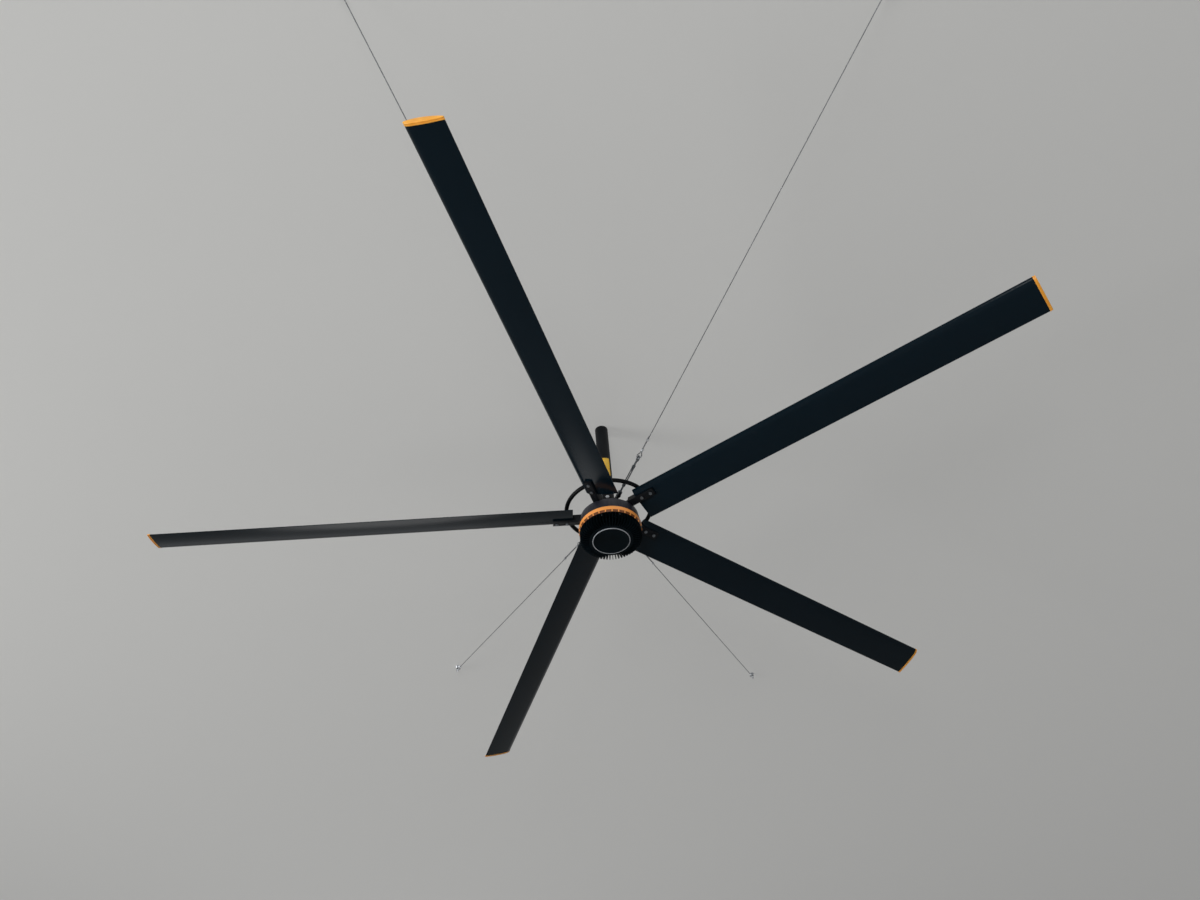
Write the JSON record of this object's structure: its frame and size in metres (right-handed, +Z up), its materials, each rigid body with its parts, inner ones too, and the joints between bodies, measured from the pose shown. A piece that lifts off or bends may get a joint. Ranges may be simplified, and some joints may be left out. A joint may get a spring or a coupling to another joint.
{
  "type": "industrial ceiling fan",
  "caption": "Large slow ceiling fan: long drooping aerofoil blades on a finned direct-drive hub, hung on a down-rod and steadied by guy wires.",
  "frame": {"origin": "centre of the ceiling plate's top face, on the fan's axis", "axes": "+Z up along the fan's axis, -Y towards the camera of the picture, +X to its right"},
  "size_m": [4.5564, 5.4176, 1.0116],
  "materials": {
    "black_blade": "satin black anodised",
    "amber_cap": "moulded, satin",
    "orange_band": "moulded, satin",
    "charcoal_housing": "fine powder coat",
    "trim_grey": "satin",
    "black_steel": "satin black paint",
    "ring_black": "satin black paint",
    "yellow_marker": "plain film",
    "zinc": "zinc plated",
    "wire_rope": "galvanised strand",
    "machined_steel": "turned",
    "bearing_steel": "ground",
    "cast_carrier": "as cast",
    "laminations": "punched sheet",
    "copper_winding": "enamelled copper",
    "magnet": "nickel plated",
    "seal_rubber": "moulded"
  },
  "bodies": {
    "mount": {"bracket_bolts": "zinc", "carrier_retaining_ring": "machined_steel", "ceiling_bracket": "black_steel", "ceiling_eyes": "zinc", "down_rod": "black_steel", "guy_clamp_bolts": "zinc", "guy_clamp_front": "black_steel", "guy_clamp_rear": "black_steel", "guy_ferrules": "zinc", "guy_thimbles": "zinc", "guy_wire_front_left": "wire_rope", "guy_wire_front_right": "wire_rope", "guy_wire_rear_left": "wire_rope", "guy_wire_rear_right": "wire_rope", "jaw_pins": "zinc", "lower_bearing_inner_race": "bearing_steel", "main_shaft": "machined_steel", "rod_bolts": "zinc", "rod_marker": "yellow_marker", "shaft_nut": "machined_steel", "shaft_spacer": "machined_steel", "stator_carrier": "cast_carrier", "stator_core": "laminations", "stator_windings": "copper_winding", "turnbuckle_eyes": "zinc", "turnbuckle_jaws": "zinc", "upper_bearing_inner_race": "bearing_steel"},
    "rotor": {"shaft_seal": "seal_rubber", "upper_bearing_outer_race": "bearing_steel", "lower_bearing_outer_race": "bearing_steel", "rotor_yoke": "machined_steel", "rotor_magnets": "magnet", "upper_cover": "charcoal_housing", "accent_band": "orange_band", "lower_housing": "charcoal_housing", "housing_screws": "zinc", "bottom_cover": "charcoal_housing", "trim_ring": "trim_grey", "blade_arms": "black_steel", "arm_bolts": "zinc", "safety_ring": "ring_black", "ring_saddles": "ring_black", "blade_bolts": "zinc", "backing_plates": "machined_steel", "blade_1": "black_blade", "blade_2": "black_blade", "blade_3": "black_blade", "blade_4": "black_blade", "blade_5": "black_blade", "end_cap_1": "amber_cap", "end_cap_2": "amber_cap", "end_cap_3": "amber_cap", "end_cap_4": "amber_cap", "end_cap_5": "amber_cap"},
    "upper_cage": {"upper_bearing_cage_and_balls": "bearing_steel"},
    "lower_cage": {"lower_bearing_cage_and_balls": "bearing_steel"},
    "turnbuckle_front_left": {"turnbuckle_body_front_left": "zinc"},
    "turnbuckle_front_right": {"turnbuckle_body_front_right": "zinc"},
    "turnbuckle_rear_right": {"turnbuckle_body_rear_right": "zinc"},
    "turnbuckle_rear_left": {"turnbuckle_body_rear_left": "zinc"}
  },
  "joints": [
    {"name": "rotor_spin", "type": "hinge", "parent": "mount", "child": "rotor", "pos_m": [0, 0, -0.825], "axis": [0, 0, 1], "continuous": true},
    {"name": "upper_cage_roll", "type": "hinge", "parent": "mount", "child": "upper_cage", "pos_m": [0, 0, -0.825], "axis": [0, 0, 1], "continuous": true},
    {"name": "lower_cage_roll", "type": "hinge", "parent": "mount", "child": "lower_cage", "pos_m": [0, 0, -0.825], "axis": [0, 0, 1], "continuous": true},
    {"name": "turnbuckle_turn_front_left", "type": "hinge", "parent": "mount", "child": "turnbuckle_front_left", "pos_m": [-0.04006, -0.11312, -0.776], "axis": [-0.3253, -0.9186, 0.2242], "continuous": true},
    {"name": "turnbuckle_turn_front_right", "type": "hinge", "parent": "mount", "child": "turnbuckle_front_right", "pos_m": [0.05946, -0.10424, -0.776], "axis": [0.4829, -0.8467, 0.2234], "continuous": true},
    {"name": "turnbuckle_turn_rear_right", "type": "hinge", "parent": "mount", "child": "turnbuckle_rear_right", "pos_m": [0.04222, 0.11233, -0.776], "axis": [0.3431, 0.9127, 0.2219], "continuous": true},
    {"name": "turnbuckle_turn_rear_left", "type": "hinge", "parent": "mount", "child": "turnbuckle_rear_left", "pos_m": [-0.05744, 0.10536, -0.776], "axis": [-0.4637, 0.8505, 0.2483], "continuous": true}
  ],
  "couplings": [
    {"joint": "upper_cage_roll", "follows": "rotor_spin", "ratio": 0.59294},
    {"joint": "lower_cage_roll", "follows": "rotor_spin", "ratio": 0.59}
  ]
}
